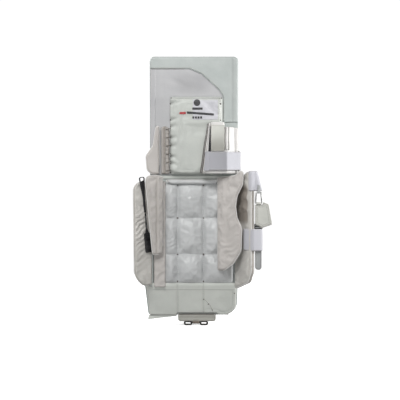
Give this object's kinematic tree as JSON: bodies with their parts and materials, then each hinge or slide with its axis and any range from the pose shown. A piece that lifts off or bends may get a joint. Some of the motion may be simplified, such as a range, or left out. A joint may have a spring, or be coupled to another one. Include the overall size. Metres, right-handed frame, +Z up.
{
  "type": "ice hockey goalkeeper leg pad",
  "caption": "Stiff leg pad for an ice hockey goalkeeper, with hinged knee and boot sections, a tufted leg channel, folding calf wings, straps and a toe bar.",
  "frame": {"origin": "on the axis of the wearer's leg, level with the pad's sole edge", "axes": "+Z up the leg, +X to the right as seen from the wearer's side, +Y forward through the pad to its face"},
  "size_m": [0.423, 0.2052, 0.8566],
  "materials": {
    "face_leather": "smooth, slightly glossy synthetic leather",
    "soft_leather": "matt beige-grey synthetic leather",
    "quilted_leather": "soft silvery white quilted leather",
    "landing_leather": "bright white soft leather",
    "matt_lining": "matt woven nylon lining",
    "foam": "closed-cell foam",
    "stiffener_plastic": "moulded sheet",
    "white_elastic": "ribbed woven elastic",
    "black_webbing": "woven nylon webbing",
    "grey_webbing": "woven webbing",
    "black_plastic": "moulded, glossy",
    "ring_steel": "polished wire",
    "bar_steel": "polished, dark nickel",
    "label_vinyl": "smooth printed vinyl"
  },
  "bodies": {
    "shin": {"shin_face_cover": "face_leather", "shin_back_panel": "matt_lining", "shin_stiffener": "stiffener_plastic", "shin_foam_core": "foam", "knee_roll_lower": "face_leather", "shin_outer_roll": "face_leather", "break_strips": "soft_leather", "calf_cushion": "quilted_leather", "calf_top_roll": "quilted_leather", "channel_side_bolster": "soft_leather", "wing_root_strips": "soft_leather"},
    "thigh_rise": {"thigh_face_cover": "face_leather", "thigh_back_panel": "matt_lining", "thigh_stiffener": "stiffener_plastic", "thigh_foam_core": "foam", "knee_roll_middle": "face_leather", "knee_roll_upper": "face_leather", "thigh_outer_roll": "face_leather", "thigh_back_lining": "matt_lining", "thigh_edge_panel": "face_leather", "knee_landing": "landing_leather", "label_patch": "label_vinyl", "knee_block_riser": "landing_leather", "knee_block_lower": "soft_leather", "knee_block_upper": "landing_leather", "knee_block_tab": "landing_leather", "knee_strap_anchor": "white_elastic", "knee_wing_strip": "soft_leather", "knee_lacing": "grey_webbing"},
    "boot": {"boot_face_cover": "face_leather", "boot_back_panel": "matt_lining", "boot_stiffener": "stiffener_plastic", "boot_foam_core": "foam", "boot_centre_panel": "face_leather", "boot_outer_pad": "face_leather", "boot_inner_pad": "face_leather", "sole_edge_flap": "face_leather"},
    "knee_wing": {"knee_wing": "soft_leather"},
    "knee_strap": {"knee_strap": "white_elastic"},
    "outer_wing": {"outer_wing_inner_layer": "soft_leather", "outer_wing_outer_layer": "soft_leather", "outer_wing_stiffener": "stiffener_plastic", "buckle_strap_loop": "black_webbing"},
    "outer_flap": {"outer_flap": "soft_leather"},
    "buckle_strap": {"buckle_strap_webbing": "black_webbing", "strap_buckle": "black_plastic"},
    "inner_wing": {"inner_wing_inner_layer": "soft_leather", "inner_wing_outer_layer": "soft_leather", "inner_wing_stiffener": "stiffener_plastic", "upper_calf_strap": "white_elastic", "lower_calf_strap": "white_elastic", "calf_strap_tail": "grey_webbing", "calf_strap_slider": "black_plastic", "ring_fold": "grey_webbing"},
    "inner_flap": {"inner_flap": "soft_leather"},
    "strap_ring": {"strap_ring": "ring_steel"},
    "strap_tab": {"strap_tab": "soft_leather"},
    "toe_bridge": {"toe_bridge_tab": "soft_leather"},
    "toe_tie_bar": {"toe_tie_bar": "bar_steel"}
  },
  "joints": [
    {"name": "knee_flex", "type": "hinge", "parent": "shin", "child": "thigh_rise", "pos_m": [0, 0.082, 0.446], "axis": [-1, 0, 0], "range_deg": [0, 12], "stiffness_Nm_per_rad": 8, "springref_deg": -3.44},
    {"name": "boot_flex", "type": "hinge", "parent": "shin", "child": "boot", "pos_m": [0, 0.082, 0.104], "axis": [1, 0, 0], "range_deg": [0, 12], "stiffness_Nm_per_rad": 4, "springref_deg": -3.44},
    {"name": "knee_wing_fold", "type": "hinge", "parent": "thigh_rise", "child": "knee_wing", "pos_m": [-0.11, 0.06535, 0.52935], "axis": [0, -0.0436, 0.999], "range_deg": [-8, 60]},
    {"name": "knee_strap_peel", "type": "hinge", "parent": "thigh_rise", "child": "knee_strap", "pos_m": [0.14375, 0.06506, 0.4923], "axis": [0, -0.0436, 0.999], "range_deg": [0, 110]},
    {"name": "outer_wing_fold", "type": "hinge", "parent": "shin", "child": "outer_wing", "pos_m": [-0.134, 0.069, 0.264], "axis": [0, 0, 1], "range_deg": [-6, 30]},
    {"name": "outer_flap_fold", "type": "hinge", "parent": "shin", "child": "outer_flap", "pos_m": [-0.0985, 0.0595, 0.32], "axis": [0, 0, 1], "range_deg": [-6, 30]},
    {"name": "buckle_strap_swing", "type": "hinge", "parent": "outer_wing", "child": "buckle_strap", "pos_m": [-0.15305, 0.04589, 0.33], "axis": [-0.5878, 0.809, 0], "range_deg": [-4, 40]},
    {"name": "inner_wing_fold", "type": "hinge", "parent": "shin", "child": "inner_wing", "pos_m": [0.1335, 0.067, 0.275], "axis": [0, 0, -1], "range_deg": [-10, 20]},
    {"name": "inner_flap_fold", "type": "hinge", "parent": "shin", "child": "inner_flap", "pos_m": [0.075, 0.0505, 0.31], "axis": [0, 0, -1], "range_deg": [-10, 20]},
    {"name": "ring_swing", "type": "hinge", "parent": "inner_wing", "child": "strap_ring", "pos_m": [0.195, -0.03125, 0.394], "axis": [1, 0, 0], "range_deg": [-35, 35]},
    {"name": "tab_swing", "type": "hinge", "parent": "strap_ring", "child": "strap_tab", "pos_m": [0.195, -0.03125, 0.361], "axis": [1, 0, 0], "range_deg": [-35, 35]},
    {"name": "toe_bridge_swing", "type": "hinge", "parent": "boot", "child": "toe_bridge", "pos_m": [0.009, 0.11545, 0.004], "axis": [1, 0, 0], "range_deg": [-80, 10]},
    {"name": "toe_bar_turn", "type": "hinge", "parent": "toe_bridge", "child": "toe_tie_bar", "pos_m": [0.0105, 0.11545, -0.023], "axis": [1, 0, 0], "range_deg": [-60, 60]}
  ],
  "couplings": [
    {"joint": "outer_flap_fold", "follows": "outer_wing_fold", "ratio": 1},
    {"joint": "inner_flap_fold", "follows": "inner_wing_fold", "ratio": 1}
  ]
}
